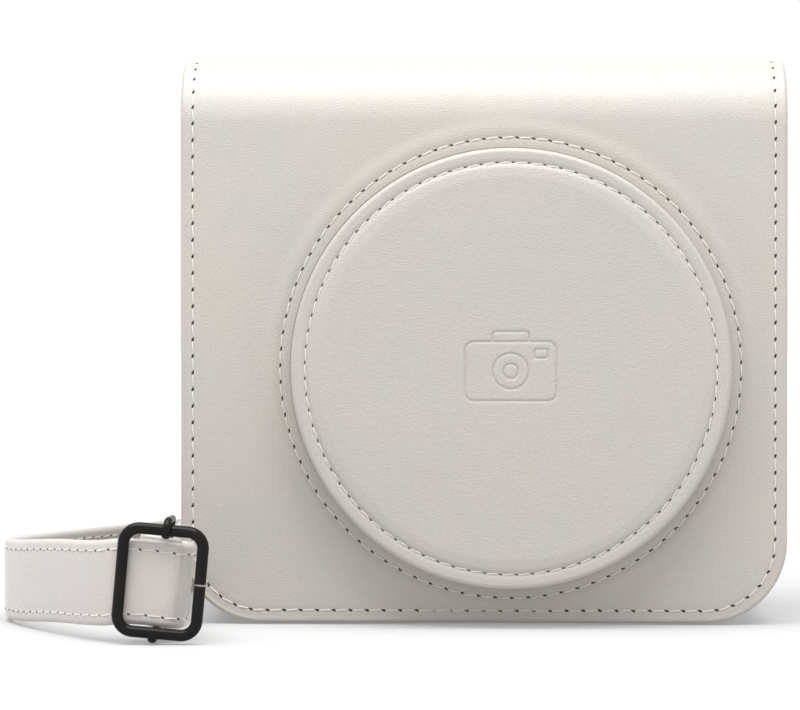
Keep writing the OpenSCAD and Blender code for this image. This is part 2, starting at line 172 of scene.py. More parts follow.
class Shader:
    """A material's node tree, with short ways to add and join nodes."""

    def __init__(self, name, color, roughness, metallic=0.0):
        self.material = bpy.data.materials.new(name)
        self.material.use_nodes = True
        self.tree = self.material.node_tree
        self.main = self.tree.nodes["Principled BSDF"]
        self.main.inputs["Base Color"].default_value = (*color, 1)
        self.main.inputs["Roughness"].default_value = roughness
        self.main.inputs["Metallic"].default_value = metallic

    def set(self, **values):
        for name, value in values.items():
            self.main.inputs[name.replace("_", " ")].default_value = value

    def add(self, kind, **inputs):
        node = self.tree.nodes.new(kind)
        for name, value in inputs.items():
            self.feed(node.inputs[name.replace("_", " ")], value)
        return node

    def feed(self, socket, value):
        if isinstance(value, bpy.types.NodeSocket):
            self.tree.links.new(value, socket)
        else:
            socket.default_value = value

    def where(self, attribute=None):
        """Where on the surface: its own flat coordinates, or the place in the frame."""
        if attribute:
            node = self.tree.nodes.new("ShaderNodeAttribute")
            node.attribute_name = attribute
            return node.outputs["Vector"]
        return self.add("ShaderNodeTexCoord").outputs["Object"]

    def noise(self, place, scale, detail=3.0, roughness=0.5):
        node = self.add("ShaderNodeTexNoise", Vector=place, Scale=scale, Detail=detail, Roughness=roughness)
        return node.outputs["Fac"]

    def voronoi(self, place, scale):
        node = self.tree.nodes.new("ShaderNodeTexVoronoi")
        node.feature = "DISTANCE_TO_EDGE"
        self.feed(node.inputs["Vector"], place)
        node.inputs["Scale"].default_value = scale
        return node.outputs["Distance"]

    def math(self, operation, a, b=0.0):
        node = self.tree.nodes.new("ShaderNodeMath")
        node.operation = operation
        self.feed(node.inputs[0], a)
        self.feed(node.inputs[1], b)
        return node.outputs[0]

    def span(self, value, low, high, out_low=0.0, out_high=1.0):
        node = self.tree.nodes.new("ShaderNodeMapRange")
        names = ("Value", "From Min", "From Max", "To Min", "To Max")
        for name, x in zip(names, (value, low, high, out_low, out_high)):
            self.feed(node.inputs[name], x)
        return node.outputs["Result"]

    def mix(self, factor, a, b):
        node = self.tree.nodes.new("ShaderNodeMix")
        node.data_type = "RGBA"
        self.feed(node.inputs[0], factor)
        self.feed(node.inputs[6], (*a, 1) if isinstance(a, tuple) else a)
        self.feed(node.inputs[7], (*b, 1) if isinstance(b, tuple) else b)
        return node.outputs[2]

    def color(self, value):
        self.feed(self.main.inputs["Base Color"], value)

    def rough(self, value):
        self.feed(self.main.inputs["Roughness"], value)

    def bump(self, height, distance, strength=1.0):
        node = self.add("ShaderNodeBump", Height=height, Distance=distance, Strength=strength)
        previous = self.main.inputs["Normal"].links
        if previous:
            self.feed(node.inputs["Normal"], previous[0].from_socket)
        self.feed(self.main.inputs["Normal"], node.outputs["Normal"])


def leather(name, color, roughness, grain, depth, attribute=None, coat=0.15, tint=1.0):
    """Pearl leatherette: fine pebbled grain over soft creases, with faint pearl tints, and painted shade in
    the grain's hollows.
    """
    s = Shader(name, color, roughness)
    place = s.where(attribute)
    warm = tuple(c * f for c, f in zip(color, (1 + 0.020 * tint, 1.0, 1 - 0.012 * tint)))
    cool = tuple(c * f for c, f in zip(color, (1 - 0.022 * tint, 1.004, 1 + 0.006 * tint)))
    rose = tuple(c * f for c, f in zip(color, (1 + 0.012 * tint, 1 - 0.016 * tint, 1 + 0.004 * tint)))
    blotches = s.mix(s.span(s.noise(place, 28), 0.35, 0.65), warm, cool)
    tinted = s.mix(s.span(s.noise(place, 47), 0.5, 0.72), blotches, rose)
    stretched = s.add("ShaderNodeVectorMath", Vector=place)
    stretched.operation = "MULTIPLY"
    stretched.inputs[1].default_value = (0.55, 1.0, 1.0)
    creases = s.noise(stretched.outputs[0], grain, 3, 0.55)
    pores = s.span(s.voronoi(place, grain * 0.8), 0.0, 0.22)
    grain_height = s.math("ADD", s.span(creases, 0.3, 0.7), s.math("MULTIPLY", pores, 0.35))
    # painted shade: the colour is 5% darker where the crease noise is low, in the grain's hollows
    s.color(s.mix(s.span(creases, 0.32, 0.6), tuple(c * 0.95 for c in color), tinted))
    s.rough(s.span(creases, 0.3, 0.7, roughness + 0.08, roughness - 0.05))
    s.bump(grain_height, depth, 0.9)
    s.bump(s.noise(place, 110, 3), 0.35 * MM, 0.35)
    s.set(Coat_Weight=coat, Coat_Roughness=0.28)
    return s.material


def woven(name, color, pitch, attribute=None):
    """A fine plain weave: two crossed sets of ridges, with a slubby variation."""
    s = Shader(name, color, 0.9)
    place = s.where(attribute)
    split = s.add("ShaderNodeSeparateXYZ", Vector=place)
    turn = 2 * math.pi / pitch
    along = s.math("SINE", s.math("MULTIPLY", split.outputs[0], turn))
    across = s.math("SINE", s.math("MULTIPLY", s.math("ADD", split.outputs[1], split.outputs[2]), turn))
    weave = s.math("MULTIPLY", along, across)
    slub = s.noise(place, 300, 4)
    s.color(s.mix(slub, tuple(c * 0.86 for c in color), tuple(min(1, c * 1.08) for c in color)))
    s.bump(s.math("ADD", s.math("MULTIPLY", weave, 0.5), slub), 0.12 * MM, 0.7)
    s.set(Sheen_Weight=0.3, Sheen_Roughness=0.5)
    return s.material


def gunmetal():
    """Glossy black plating on wire, with faint handling marks."""
    s = Shader("gunmetal", (0.006, 0.005, 0.005), 0.14)
    place = s.where()
    smears = s.noise(place, 260, 4)
    scratches = s.noise(place, 2400, 2)
    s.color(s.mix(smears, (0.004, 0.004, 0.004), (0.012, 0.011, 0.010)))
    s.rough(s.span(smears, 0.3, 0.75, 0.10, 0.22))
    s.bump(scratches, 0.02 * MM, 0.25)
    s.set(Specular_IOR_Level=0.12)
    return s.material


def mottled(name, color, spread, scale, roughness, depth, metallic=0.0):
    """A plain material with its own speckle, for boards, foam and metal discs."""
    s = Shader(name, color, roughness, metallic)
    place = s.where()
    speckle = s.noise(place, scale, 5)
    dark = tuple(c * (1 - spread) for c in color)
    bright = tuple(min(1, c * (1 + spread)) for c in color)
    s.color(s.mix(speckle, dark, bright))
    s.rough(s.span(speckle, 0.3, 0.7, max(0.05, roughness - 0.08), min(1, roughness + 0.08)))
    s.bump(speckle, depth, 0.6)
    return s.material


def thread_material():
    """White thread, with the ridges of its twist."""
    s = Shader("thread", (0.66, 0.64, 0.60), 0.62)
    place = s.where()
    twist = s.noise(place, 5200, 2)
    s.color(s.mix(twist, (0.56, 0.53, 0.49), (0.76, 0.74, 0.70)))
    s.bump(twist, 0.05 * MM, 0.8)
    s.set(Sheen_Weight=0.25, Sheen_Roughness=0.4)
    return s.material


def hole_shade_material():
    """Painted shade for a needle hole: near black, a little uneven."""
    s = Shader("needle_hole_painted_shade", (0.012, 0.010, 0.009), 0.85)
    s.color(s.mix(s.noise(s.where(), 2500, 2), (0.006, 0.005, 0.005), (0.03, 0.025, 0.02)))
    return s.material


PEARL = (0.437, 0.412, 0.380)
M = {
    "case": leather("case_leather", PEARL, 0.46, 3000, 0.06 * MM, "flat_pos", 0.15, 1.6),
    "body": leather("body_leather", PEARL, 0.46, 3000, 0.06 * MM),
    "cap": leather("cap_leather", (0.420, 0.396, 0.370), 0.44, 3000, 0.06 * MM, "flat_pos", 0.15, 1.5),
    "strap": leather("strap_leather", (0.49, 0.462, 0.44), 0.28, 2100, 0.04 * MM, "flat_pos", 0.5, 1.3),
    "tab": leather("tab_leather", (0.48, 0.455, 0.43), 0.34, 2100, 0.06 * MM, None, 0.4),
    "lining": woven("lining_cloth", (0.52, 0.49, 0.46), 0.9 * MM),
    "flap_lining": woven("flap_lining_cloth", (0.52, 0.49, 0.46), 0.9 * MM, "flat_pos"),
    "tie": woven("tie_cloth", (0.60, 0.57, 0.54), 1.1 * MM),
    "board": mottled("pressed_board", (0.20, 0.18, 0.155), 0.25, 900, 0.85, 0.05 * MM),
    "foam": mottled("foam_pad", (0.80, 0.78, 0.72), 0.08, 2200, 0.95, 0.1 * MM),
    "magnet": mottled("nickel_disc", (0.60, 0.60, 0.61), 0.1, 1500, 0.25, 0.01 * MM, 1.0),
    "gunmetal": gunmetal(),
    "thread": thread_material(),
    # near-black discs at each needle hole: painted shade
    "hole": hole_shade_material(),
}

# ---------------------------------------------------------------- mesh helpers


def new_piece(name, verts, faces, material, slot, flat=None):
    """A mesh object from plain lists. flat holds each vertex's place on the uncut sheet."""
    mesh = bpy.data.meshes.new(name)
    mesh.from_pydata([tuple(v) for v in verts], [], [tuple(f) for f in faces])
    if flat is not None:
        attribute = mesh.attributes.new("flat_pos", "FLOAT_VECTOR", "POINT")
        attribute.data.foreach_set("vector", np.array(flat, np.float32).ravel())
    mesh.materials.append(material)
    piece = bpy.data.objects.new(name, mesh)
    bpy.context.scene.collection.objects.link(piece)
    b = bmesh.new()
    b.from_mesh(mesh)
    bmesh.ops.recalc_face_normals(b, faces=b.faces)
    for face in b.faces:
        face.smooth = True
    b.to_mesh(mesh)
    b.free()
    mesh.set_sharp_from_angle(angle=math.radians(40))
    return piece


def bilinear_noise(x, y, size, height, seed):
    return height * noise.noise(Vector((x / size + seed, y / size, seed * 1.7)))


# ---------------------------------------------------------------- the flap's and back's profile

FRONT_LEN = FOLD_Z - FLAP_BOTTOM
FOLD_LEN = FOLD_R * math.pi / 2
TOP_LEN = HINGE_Y - FOLD_Y
HINGE_LEN = HINGE_R * math.pi / 2
BACK_LEN = HINGE_Z - back_low.z
S_FOLD = FRONT_LEN
S_TOP = S_FOLD + FOLD_LEN
S_MID = S_TOP + TOP_LEN / 2
S_HINGE = S_TOP + TOP_LEN
S_BACK = S_HINGE + HINGE_LEN
S_END = S_BACK + BACK_LEN
DOME_S = DOME_Z - FLAP_BOTTOM


def wrap(x, s, depth):
    """A point of the sheet that runs up the front, over the top and down the back, depth below its face."""
    if s < S_FOLD:
        y, z, ny, nz = FLAP_Y, FLAP_BOTTOM + s, -1, 0
    elif s < S_TOP:
        a = (s - S_FOLD) / FOLD_R
        ny, nz = -math.cos(a), math.sin(a)
        y, z = FOLD_Y + FOLD_R * ny, FOLD_Z + FOLD_R * nz
    elif s < S_HINGE:
        y, z, ny, nz = FOLD_Y + s - S_TOP, CASE_H, 0, 1
    elif s < S_BACK:
        a = (s - S_HINGE) / HINGE_R
        ny, nz = math.sin(a), math.cos(a)
        y, z = HINGE_Y + HINGE_R * ny, HINGE_Z + HINGE_R * nz
    else:
        y, z, ny, nz = BACK_Y, HINGE_Z - (s - S_BACK), 1, 0
    return Vector((x, y - ny * depth, z - nz * depth)), Vector((0, ny, nz))


def rows_between(s0, s1):
    """Rows across the sheet: close together where it bends, wider where it is flat."""
    rows = [s0]
    while rows[-1] < s1 - 1e-9:
        s = rows[-1]
        bends = (S_FOLD - 1 * MM < s < S_TOP + 0.5 * MM) or (S_HINGE - 1 * MM < s < S_BACK + 0.5 * MM)
        rows.append(s + (BEND_STEP if bends else SHEET_STEP))
    rows[-1] = s1
    return rows


def arc(cx, cy, r, start, stop):
    """Points on an arc, both ends left out."""
    angles = [math.radians(start + (stop - start) * i / CORNER_STEPS) for i in range(1, CORNER_STEPS)]
    return [(cx + r * math.cos(a), cy + r * math.sin(a)) for a in angles]


def sheet_outline(s_end, half, corner):
    """Down one side from the cut, round the far end's two corners and up the other side."""
    way = 1 if s_end > S_MID else -1
    middle = s_end - way * corner
    side_rows = rows_between(min(S_MID, middle), max(S_MID, middle))[::way]
    left = [(-half, s) for s in side_rows]
    right = [(half, s) for s in reversed(side_rows)]
    turn = arc(-half + corner, middle, corner, 180, 180 - way * 90)
    steps = int((2 * half - 2 * corner) / SHEET_STEP)
    end = [(-half + corner + (2 * half - 2 * corner) * i / steps, s_end) for i in range(steps + 1)]
    turn_back = arc(half - corner, middle, corner, way * 90, 0)
    return left + turn + end + turn_back + right


def square_at(p):
    """The two corners where a sheet is cut across at the middle of the top."""
    return abs(p[1] - S_MID) < 1e-7 and abs(p[0]) > HALF_W - 2 * MM


def outline_normals(points):
    """The way out of the closed outline at each point, found from its neighbours."""
    n = len(points)
    normals = []
    for i, p in enumerate(points):
        a, b = points[i - 1], points[(i + 1) % n]
        t = Vector((b[0] - a[0], b[1] - a[1])).normalized()
        normals.append(Vector((t.y, 0)).normalized() if square_at(p) else Vector((t.y, -t.x)))
    area = sum(a[0] * b[1] - b[0] * a[1] for a, b in zip(points, points[1:] + points[:1]))
    return normals if area > 0 else [-v for v in normals]


def inset_points(points, normals, d):
    return [(p[0] - v.x * d, p[1] - v.y * d) for p, v in zip(points, normals)]


# rims as (inset, depth) steps in mm, from the outer face round the edge
RIM = [
    (1.2, 0.0), (0.8, 0.03), (0.42, 0.17), (0.14, 0.48), (0.0, 0.95),
    (0.0, 1.55), (0.12, 2.02), (0.4, 2.36), (0.8, 2.5), (1.2, 2.5),
]
SMALL_RIM = [(0.6, 0.0), (0.3, 0.06), (0.08, 0.25), (0.0, 0.5)]


class Shell:
    """A leather or lining sheet of some thickness, cut to an outline with holes, and wrapped into shape."""

    def __init__(self, relief, thickness, top=0.0):
        self.relief, self.thickness, self.top = relief, thickness, top
        self.verts, self.flat, self.faces = [], [], []

    def vertex(self, p, depth, lift=0.0):
        point, normal = wrap(p[0], p[1], depth)
        self.verts.append(point + normal * lift)
        self.flat.append((p[0], p[1], depth))
        return len(self.verts) - 1

    def build(self, loops, inner_loops, fill_points):
        """loops: a list of (points, normals, rim, cut flags); the first is the outside."""
        edge_points, edges, rings = [], [], []
        for points, normals, rim, held in loops:
            start = len(edge_points)
            inset = inset_points(points, normals, rim[0][0] * MM)
            inset = [p if h else q for p, q, h in zip(points, inset, held)]
            edge_points += inset
            n = len(points)
            edges += [(start + i, start + (i + 1) % n) for i in range(n)]
            rings.append((start, n))
        steiner = list(fill_points)
        for points in inner_loops:
            steiner += points
        cdt_points = [Vector(p) / MM for p in edge_points + steiner]
        faces = [list(range(s, s + n)) for s, n in rings]
        out = delaunay_2d_cdt(cdt_points, edges, faces, 1, 1e-5)
        flat_points, triangles, origins = [p * MM for p in out[0]], out[2], out[3]
        in_hole = [
            {i for i, origin in enumerate(origins) if any(s <= o < s + n for o in origin)}
            for s, n in rings[1:]
        ]
        source = {}
        for i, origin in enumerate(origins):
            for o in origin:
                source.setdefault(o, i)
        keep = [t for t in triangles if not any(set(t) <= ring for ring in in_hole)]
        outer = [self.vertex(p, self.top, self.relief(p[0], p[1])) for p in flat_points]
        inner = [self.vertex(p, self.top + self.thickness) for p in flat_points]
        self.faces += [[outer[i] for i in t] for t in keep]
        self.faces += [[inner[i] for i in reversed(t)] for t in keep]
        for (start, n), (points, normals, rim, held) in zip(rings, loops):
            previous = [outer[source[start + i]] for i in range(n)]
            last = [inner[source[start + i]] for i in range(n)]
            for d, t in rim[1:]:
                row = []
                for p, v, h in zip(points, normals, held):
                    q = p if h else (p[0] - v.x * d * MM, p[1] - v.y * d * MM)
                    row.append(self.vertex(q, self.top + t * MM))
                self.join(previous, row)
                previous = row
            self.join(previous, last)
        return self

    def join(self, a, b):
        n = len(a)
        for i in range(n):
            j = (i + 1) % n
            self.faces.append([a[i], a[j], b[j], b[i]])

    def piece(self, name, material, slot):
        return new_piece(name, self.verts, self.faces, material, slot, self.flat)


def on_cut(points):
    """Which points of an outline lie on the cut, where the next piece goes on."""
    return [abs(p[1] - S_MID) < 1e-7 and not square_at(p) for p in points]


def cut_line(half):
    count = int(2 * half / SHEET_STEP)
    return [(-half + 2 * half * i / count, S_MID) for i in range(count - 1, 0, -1)]


def flap_relief(x, s):
    """The skin over the dome's flange stands up a little, and dips along each row of stitches."""
    r = math.hypot(x - DOME_X, s - DOME_S)
    lift = 0.30 * MM * max(0.0, min(1.0, (58.3 * MM - r) / (2.2 * MM))) if r < 60 * MM else 0.0
    lift -= 0.22 * MM * math.exp(-(((r - BASE_SEAM_R) / (0.55 * MM)) ** 2))
    lift -= edge_dip(x, s)
    return lift + bilinear_noise(x, s, 32 * MM, 0.10 * MM, 3.1)


def edge_dip(x, from_end):
    """The border outside the stitches is pinched down, most along the stitches themselves."""
    corner = Vector((max(0.0, abs(x) - (HALF_W - FLAP_CORNER)), max(0.0, FLAP_CORNER - from_end)))
    if corner.x > 0 and corner.y > 0:
        inset = FLAP_CORNER - corner.length
    else:
        inset = min(HALF_W - abs(x), from_end)
    groove = 0.13 * MM * math.exp(-(((inset - SEAM_INSET) / (0.5 * MM)) ** 2))
    return groove + 0.16 * MM * max(0.0, min(1.0, (3.4 * MM - inset) / (2 * MM)))


def back_relief(x, s):
    return bilinear_noise(x, s, 32 * MM, 0.10 * MM, 3.1) - edge_dip(x, S_END - s)


def dome_hole(r, count):
    """The outline of the hole for the dome, with the way to its middle at each point."""
    turns = [2 * math.pi * i / count for i in range(count)]
    points = [(DOME_X + r * math.cos(a), DOME_S + r * math.sin(a)) for a in turns]
    return points, [Vector((DOME_X - x, DOME_S - s)).normalized() for x, s in points]


BORDER_INSETS = (1.8, 2.4, 2.9, 3.4, 4.2)
HOLE_INSETS = (1.2, 1.8, 2.3, 2.8, 3.3, 4.0, 4.8, 5.6, 6.4, 7.2, 8.2)


def border_rings(outline, normals, held, keep):
    """Rings of points inside an outline, close together where the stitches pinch the sheet."""
    return [
        [p for p, h in zip(inset_points(outline, normals, d * MM), held) if not h and keep(p[1])]
        for d in BORDER_INSETS
    ]


def fill_grid(s_end, half, keep):
    rows = rows_between(min(S_MID, s_end), max(S_MID, s_end))[1:-1]
    columns = [half * (2 * i / SHEET_COLUMNS - 1) for i in range(1, SHEET_COLUMNS)]
    return [(x, s) for s in rows for x in columns if keep(x, s)]


def in_sheet(x, s, s_end, half, corner, margin):
    way = 1 if s_end > S_MID else -1
    from_end = (s_end - s) * way
    if half - abs(x) < margin or from_end < margin or (s - S_MID) * way < 1 * MM:
        return False
    dx, ds = abs(x) - (half - corner), corner - from_end
    return not (dx > 0 and ds > 0 and math.hypot(dx, ds) > corner - margin)


def cover(name, s_end, corner, relief, hole_r=0.0):
    """The outer skin from the middle of the top to one end. The flap's has the dome's hole."""
    way = 1 if s_end > S_MID else -1
    outline = sheet_outline(s_end, HALF_W, corner) + cut_line(HALF_W)
    normals, held = outline_normals(outline), on_cut(outline)
    loops, rings = [(outline, normals, RIM, held)], []
    if hole_r:
        hole, to_middle = dome_hole(hole_r, 300)
        loops.append((hole, to_middle, SMALL_RIM, [False] * len(hole)))
        rings = [inset_points(hole, to_middle, d * MM) for d in HOLE_INSETS]
    rings += border_rings(outline, normals, held, lambda s: (s - S_MID) * way > 1 * MM)
    grid = fill_grid(s_end, HALF_W, lambda x, s: (
        in_sheet(x, s, s_end, HALF_W, corner, 5 * MM)
        and math.hypot(x - DOME_X, s - DOME_S) > hole_r + 9.5 * MM
    ))
    shell = Shell(relief, SKIN)
    shell.build(loops, rings, grid)
    return shell.piece(name, M["case"], "case_leather")


LINER_RIM = [(0.5, 0.0), (0.15, 0.08), (0.0, 0.3), (0.15, 0.52), (0.5, 0.6)]
LINER_INSET = 1.2 * MM


def liner(name, s_end, corner, hole_r):
    """The cloth inside the flap or the back, under the boards."""
    half = HALF_W - LINER_INSET
    way = 1 if s_end > S_MID else -1
    end, corner = s_end - way * LINER_INSET, corner - LINER_INSET
    outline = sheet_outline(end, half, corner) + cut_line(half)
    normals = outline_normals(outline)
    loops = [(outline, normals, LINER_RIM, on_cut(outline))]
    rings = []
    if hole_r:
        hole, to_middle = dome_hole(hole_r, 180)
        loops.append((hole, to_middle, LINER_RIM, [False] * len(hole)))
        rings.append(inset_points(hole, to_middle, 3 * MM))
    grid = fill_grid(end, half, lambda x, s: (
        in_sheet(x, s, end, half, corner, 4 * MM)
        and math.hypot(x - DOME_X, s - DOME_S) > hole_r + 5 * MM
    ))
    shell = Shell(lambda x, s: 0.0, 0.6 * MM, COVERED)
    shell.build(loops, rings, grid)
    return shell.piece(name, M["flap_lining"], "lining")


def bend_with_fold(piece):
    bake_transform(piece)


def bend_with_hinge(piece):
    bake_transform(piece)


def make_covers():
    flap = cover("flap_cover", 0.0, FLAP_CORNER, flap_relief, DOME_R + 0.25 * MM)
    bend_with_fold(flap)
    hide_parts("flap_front_skin", "fold_strip", "flap_top_skin")
    back = cover("back_cover", S_END, BODY_CORNER, back_relief)
    bend_with_hinge(back)
    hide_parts("back_skin", "hinge_strip")
    flap_liner = liner("flap_liner", 0.0, FLAP_CORNER, DOME_R - 3.1 * MM)
    bend_with_fold(flap_liner)
    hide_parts("flap_front_lining", "flap_top_lining")
    back_liner = liner("back_liner", S_END, BODY_CORNER, 0.0)
    bend_with_hinge(back_liner)
    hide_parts("back_lining")


# ---------------------------------------------------------------- lens dome


def revolve(profile, segments, lift=None):
    """Turns (radius, y) points about the dome's axis. Radius 0 points become a single vertex."""
    verts, flat, rows = [], [], []
    for r, y in profile:
        row = []
        for i in range(1 if r < 1e-9 else segments):
            a = 2 * math.pi * i / segments
            x, z = r * math.cos(a), r * math.sin(a)
            rise = lift(x, z, r, y) if lift else 0.0
            row.append(len(verts))
            verts.append((DOME_X + x, y - rise, DOME_Z + z))
            flat.append((x, z, y))
        rows.append(row)
    faces = []
    for a, b in zip(rows, rows[1:]):
        for i in range(segments):
            j = (i + 1) % segments
            quad = [a[i % len(a)], a[j % len(a)], b[j % len(b)], b[i % len(b)]]
            faces.append(list(dict.fromkeys(quad)))
    return verts, faces, flat


def stroke(distance, width):
    """1 in the middle of a drawn line, falling off at its edges."""
    return max(0.0, min(1.0, (width - abs(distance)) / (0.25 * MM)))


def box_distance(x, z, half_x, half_z, r):
    qx, qz = abs(x) - half_x + r, abs(z) - half_z + r
    return math.hypot(max(qx, 0), max(qz, 0)) + min(max(qx, qz), 0) - r


def emblem(x, z):
    """A plain pictogram of a camera, pressed into the cap."""
    line = 0.34 * MM
    body = stroke(box_distance(x, z + 0.6 * MM, 10.5 * MM, 6.8 * MM, 2 * MM), line)
    lens = stroke(math.hypot(x, z + 0.6 * MM) - 4.1 * MM, line)
    pupil = stroke(math.hypot(x, z + 0.6 * MM) - 1.7 * MM, line)
    window = stroke(box_distance(x - 7.0 * MM, z - 3.4 * MM, 1.5 * MM, 1.0 * MM, 0.4 * MM), line)
    hump = stroke(box_distance(x, z - 7.2 * MM, 4.2 * MM, 1.3 * MM, 0.8 * MM), line)
    return max(body, lens, pupil, window, hump if z > 6.1 * MM else 0.0)


def cap_lift(x, z, r, y):
    """Padding under the cap's skin: proud inside the stitches, with a soft band outside them."""
    if y > CAP_Y + 0.7 * MM:
        return 0.0
    crown = 0.55 * MM * max(0.0, min(1.0, (CAP_SEAM_R - r) / (3.2 * MM))) ** 0.6
    groove = 0.34 * MM * math.exp(-(((r - CAP_SEAM_R) / (0.6 * MM)) ** 2))
    mark = 0.26 * MM * emblem(x, z) if r < 19 * MM else 0.0
    return crown - groove - mark + bilinear_noise(x, z, 30 * MM, 0.08 * MM, 7.7)


def dome_cap():
    edge = 1.1 * MM
    face = [(0.0, CAP_Y)]
    face += [(r * 0.3 * MM, CAP_Y) for r in range(2, 61)]
    face += [(r * MM, CAP_Y) for r in range(19, 43)]
    face += [(r * 0.3 * MM, CAP_Y) for r in range(144, int((DOME_R - edge) / (0.3 * MM)))]
    rim = [
        (DOME_R - edge + edge * math.sin(math.radians(a)), CAP_Y + edge - edge * math.cos(math.radians(a)))
        for a in range(0, 91, 9)
    ]
    back = [
        (DOME_R, CAP_Y + 2.3 * MM), (DOME_R - 0.05 * MM, CAP_Y + 2.6 * MM),
        (DOME_R - 0.5 * MM, CAP_Y + 2.8 * MM), (DOME_R - COVERED, CAP_Y + 2.8 * MM),
        (DOME_R - COVERED, CAP_Y + SKIN), (0.0, CAP_Y + SKIN),
    ]
    verts, faces, flat = revolve(face + rim + back, 320, cap_lift)
    return new_piece("dome_cap", verts, faces, M["cap"], "cap_leather", flat)


def dome_side():
    """The dome's wall, flaring at its foot into the flange that is sewn under the flap's skin."""
    inner = DOME_R - COVERED
    outer = [
        (DOME_R - 0.45 * MM, CAP_Y + 2.9 * MM), (DOME_R - 0.08 * MM, CAP_Y + 3.2 * MM),
        (DOME_R, CAP_Y + 3.8 * MM), (DOME_R, CAP_Y + 6 * MM), (DOME_R, CAP_Y + 8.5 * MM),
        (DOME_R, FLAP_Y - 1.4 * MM), (DOME_R + 0.05 * MM, FLAP_Y - 0.5 * MM),
        (DOME_R + 0.15 * MM, FLAP_Y + 0.3 * MM), (DOME_R + 0.6 * MM, FLAP_Y + 0.95 * MM),
        (DOME_R + 1.6 * MM, FLAP_Y + 1.02 * MM), (DOME_R + 6.1 * MM, FLAP_Y + 1.02 * MM),
        (DOME_R + 6.1 * MM, FLAP_Y + 1.68 * MM), (inner, FLAP_Y + 1.68 * MM),
        (inner, CAP_Y + 2.9 * MM), (DOME_R - 0.45 * MM, CAP_Y + 2.9 * MM),
    ]
    verts, faces, flat = revolve(outer, 256)
    turned = [(math.atan2(z, x) * DOME_R, y, 0.0) for x, z, y in flat]
    piece = new_piece("dome_side", verts, faces, M["body"], "case_leather", turned)
    merge_close(piece)
    return piece


def merge_close(piece):
    b = bmesh.new()
    b.from_mesh(piece.data)
    bmesh.ops.remove_doubles(b, verts=b.verts, dist=1e-6)
    bmesh.ops.recalc_face_normals(b, faces=b.faces)
    b.to_mesh(piece.data)
    b.free()


def make_dome():
    cap = dome_cap()
    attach(cap, "flap_front")
    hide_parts("cap_skin")
    side = dome_side()
    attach(side, "flap_front")
    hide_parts("dome_wall", "dome_flange")


# ---------------------------------------------------------------- stitches


class Stitches:
    """Rows of lockstitch: a thread from each needle hole to the next, each a little slanted, and a
    near-black disc on every hole as painted shade.
    """

    def __init__(self):
        self.thread = ([], [])
        self.holes = ([], [])

    def row(self, at, count, closed, hole=(0.58 * MM, 0.28 * MM)):
        """at(t) gives the point, its normal and the way along, for t from 0 to count."""
        for i in range(count):
            self.one(at, i)
        for i in range(count if closed else count + 1):
            self.hole(at, i, hole)

    def follow(self, track, **sizes):
        self.row(track.at, track.count, False, **sizes)

    def one(self, at, i):
        rings, sides = 7, 8
        start = len(self.thread[0])
        for k in range(rings):
            t = k / (rings - 1)
            point, normal, along = at(i + 0.10 + 0.80 * t)
            across = normal.cross(along)
            rise = 0.24 * MM * math.sin(math.pi * t) ** 0.7 - 0.10 * MM
            point = point + across * THREAD_SLANT * (2 * t - 1) + normal * rise
            size = THREAD_R * (1 - 0.35 * (2 * t - 1) ** 4)
            for q in range(sides):
                a = 2 * math.pi * q / sides
                self.thread[0].append(point + across * size * math.cos(a) + normal * size * math.sin(a))
        for k in range(rings - 1):
            for q in range(sides):
                a, b = start + k * sides + q, start + k * sides + (q + 1) % sides
                self.thread[1].append([a, b, b + sides, a + sides])
        self.thread[1].append([start + q for q in reversed(range(sides))])
        self.thread[1].append([start + (rings - 1) * sides + q for q in range(sides)])

    # a shallow near-black dish laid just above the surface at a needle hole: painted shade, not a cut
    def hole(self, at, i, size):
        point, normal, along = at(i)
        across = normal.cross(along)
        a = math.radians(28)
        long_way = along * math.cos(a) - across * math.sin(a)
        wide_way = along * math.sin(a) + across * math.cos(a)
        start = len(self.holes[0])
        self.holes[0].append(point + normal * 0.02 * MM)
        self.holes[0].append(point - normal * 0.25 * MM)
        n = 12
        for k in range(n):
            b = 2 * math.pi * k / n
            rim = point + normal * 0.07 * MM
            self.holes[0].append(rim + long_way * size[0] * math.cos(b) + wide_way * size[1] * math.sin(b))
        for k in range(n):
            p, q = start + 2 + k, start + 2 + (k + 1) % n
            self.holes[1].append([start, p, q])
            self.holes[1].append([start + 1, q, p])

    def pieces(self, name):
        thread = new_piece(name, *self.thread, M["thread"], "thread")
        # the near-black needle-hole discs: painted shade
        holes = new_piece(name + "_holes", *self.holes, M["hole"], "thread")
        return [thread, holes]


class Track:
    """A line of points on a surface, with even steps along it."""

    def __init__(self, points, normals, pitch=STITCH):
        self.points, self.normals = points, normals
        steps = [(b - a).length for a, b in zip(points, points[1:])]
        self.far = [0.0]
        for step in steps:
            self.far.append(self.far[-1] + step)
        self.count = max(1, round(self.far[-1] / pitch))

    def at(self, t):
        d = max(0.0, min(1.0, t / self.count)) * self.far[-1]
        i = min(max(int(np.searchsorted(self.far, d)) - 1, 0), len(self.points) - 2)
        f = (d - self.far[i]) / max(self.far[i + 1] - self.far[i], 1e-12)
        point = self.points[i].lerp(self.points[i + 1], f)
        normal = self.normals[i].lerp(self.normals[i + 1], f).normalized()
        along = (self.points[i + 1] - self.points[i]).normalized()
        return point, normal, along


def sheet_track(s_end, corner, relief):
    """The row of stitches along the border of the flap's or the back's sheet."""
    shift = SEAM_INSET if s_end < S_MID else -SEAM_INSET
    points, normals = [], []
    for x, s in sheet_outline(s_end + shift, HALF_W - SEAM_INSET, corner - SEAM_INSET):
        point, normal = wrap(x, s, 0.0)
        points.append(point + normal * relief(x, s))
        normals.append(normal)
    return Track(points, normals)


